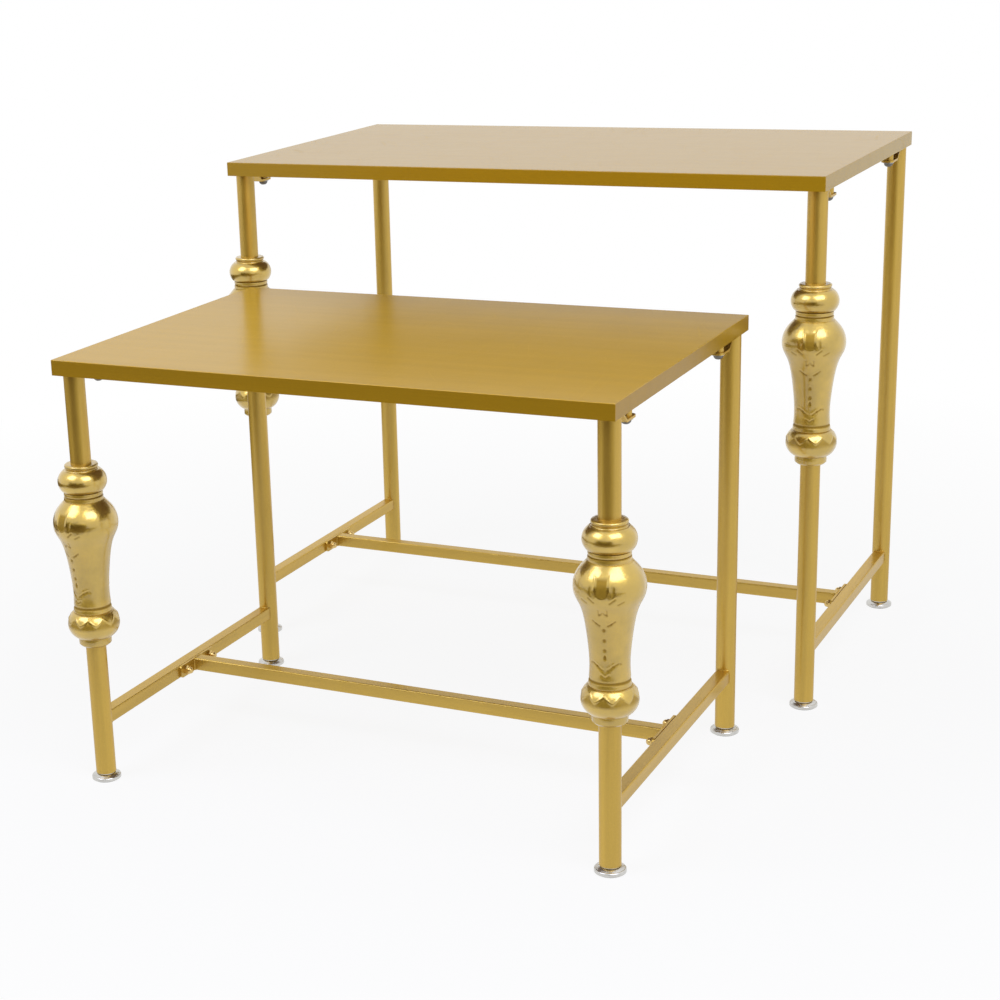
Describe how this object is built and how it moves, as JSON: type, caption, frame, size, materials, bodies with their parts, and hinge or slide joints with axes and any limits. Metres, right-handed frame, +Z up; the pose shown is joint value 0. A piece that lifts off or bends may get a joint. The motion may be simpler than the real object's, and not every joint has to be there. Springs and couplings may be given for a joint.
{
  "type": "tiered display table pair",
  "caption": "Nesting pair of gold-painted metal display tables, a tall one behind a low one, with cast baluster ornaments on the front legs.",
  "frame": {"origin": "on the floor, at the middle of the pair's overall width and depth", "axes": "+Z up, +X to the right seen from the front, +Y from the low front table to the tall back one"},
  "size_m": [0.9526, 1.1073, 0.75],
  "materials": {
    "gold_top": "satin gold paint with faint brushed streaks",
    "gold_tube": "satin gold paint",
    "cast_gold": "gilded casting, polished on the bulbs and satin on the vase",
    "gilt_screw": "polished, gilt",
    "nickel": "bright nickel plate",
    "zinc": "zinc plate",
    "dark_steel": "blackened",
    "board": "bare fibreboard",
    "black_plastic": "matt",
    "grey_nylon": "matt"
  },
  "bodies": {
    "tall_table": {"tall_top_panel": "gold_top", "tall_top_core": "board", "tall_panel_inserts": "zinc", "tall_leg_top_caps": "black_plastic", "tall_foot_bushes": "zinc", "tall_leg_lugs": "gold_tube", "tall_lug_spacers": "gold_tube", "tall_lug_washers": "zinc", "tall_lug_screws": "dark_steel", "tall_ornament_grub_screws": "dark_steel", "tall_cross_stretcher": "gold_tube", "tall_stretcher_end_plates": "gold_tube", "tall_stretcher_screws": "gilt_screw", "tall_rail_weld_nuts": "zinc", "tall_left_side_rail": "gold_tube", "tall_right_side_rail": "gold_tube", "tall_front_left_leg": "gold_tube", "tall_front_right_leg": "gold_tube", "tall_back_left_leg": "gold_tube", "tall_back_right_leg": "gold_tube", "tall_front_left_ornament": "cast_gold", "tall_front_right_ornament": "cast_gold"},
    "small_table": {"small_top_panel": "gold_top", "small_top_core": "board", "small_panel_inserts": "zinc", "small_leg_top_caps": "black_plastic", "small_foot_bushes": "zinc", "small_leg_lugs": "gold_tube", "small_lug_spacers": "gold_tube", "small_lug_washers": "zinc", "small_lug_screws": "dark_steel", "small_ornament_grub_screws": "dark_steel", "small_cross_stretcher": "gold_tube", "small_stretcher_end_plates": "gold_tube", "small_stretcher_screws": "gilt_screw", "small_rail_weld_nuts": "zinc", "small_left_side_rail": "gold_tube", "small_right_side_rail": "gold_tube", "small_front_left_leg": "gold_tube", "small_front_right_leg": "gold_tube", "small_back_left_leg": "gold_tube", "small_back_right_leg": "gold_tube", "small_front_left_ornament": "cast_gold", "small_front_right_ornament": "cast_gold"},
    "tall_front_left_foot": {"tall_front_left_foot": "nickel", "tall_front_left_foot_pad": "grey_nylon"},
    "tall_front_right_foot": {"tall_front_right_foot": "nickel", "tall_front_right_foot_pad": "grey_nylon"},
    "tall_back_left_foot": {"tall_back_left_foot": "nickel", "tall_back_left_foot_pad": "grey_nylon"},
    "tall_back_right_foot": {"tall_back_right_foot": "nickel", "tall_back_right_foot_pad": "grey_nylon"},
    "small_front_left_foot": {"small_front_left_foot": "nickel", "small_front_left_foot_pad": "grey_nylon"},
    "small_front_right_foot": {"small_front_right_foot": "nickel", "small_front_right_foot_pad": "grey_nylon"},
    "small_back_left_foot": {"small_back_left_foot": "nickel", "small_back_left_foot_pad": "grey_nylon"},
    "small_back_right_foot": {"small_back_right_foot": "nickel", "small_back_right_foot_pad": "grey_nylon"}
  },
  "joints": [
    {"name": "nest_slide", "type": "slide", "parent": "tall_table", "child": "small_table", "axis": [0, 1, 0], "range_m": [0, 0.33255]},
    {"name": "tall_front_left_foot_height", "type": "slide", "parent": "tall_table", "child": "tall_front_left_foot", "axis": [0, 0, -1], "range_m": [0, 0.012]},
    {"name": "tall_front_right_foot_height", "type": "slide", "parent": "tall_table", "child": "tall_front_right_foot", "axis": [0, 0, -1], "range_m": [0, 0.012]},
    {"name": "tall_back_left_foot_height", "type": "slide", "parent": "tall_table", "child": "tall_back_left_foot", "axis": [0, 0, -1], "range_m": [0, 0.012]},
    {"name": "tall_back_right_foot_height", "type": "slide", "parent": "tall_table", "child": "tall_back_right_foot", "axis": [0, 0, -1], "range_m": [0, 0.012]},
    {"name": "small_front_left_foot_height", "type": "slide", "parent": "small_table", "child": "small_front_left_foot", "axis": [0, 0, -1], "range_m": [0, 0.012]},
    {"name": "small_front_right_foot_height", "type": "slide", "parent": "small_table", "child": "small_front_right_foot", "axis": [0, 0, -1], "range_m": [0, 0.012]},
    {"name": "small_back_left_foot_height", "type": "slide", "parent": "small_table", "child": "small_back_left_foot", "axis": [0, 0, -1], "range_m": [0, 0.012]},
    {"name": "small_back_right_foot_height", "type": "slide", "parent": "small_table", "child": "small_back_right_foot", "axis": [0, 0, -1], "range_m": [0, 0.012]}
  ]
}
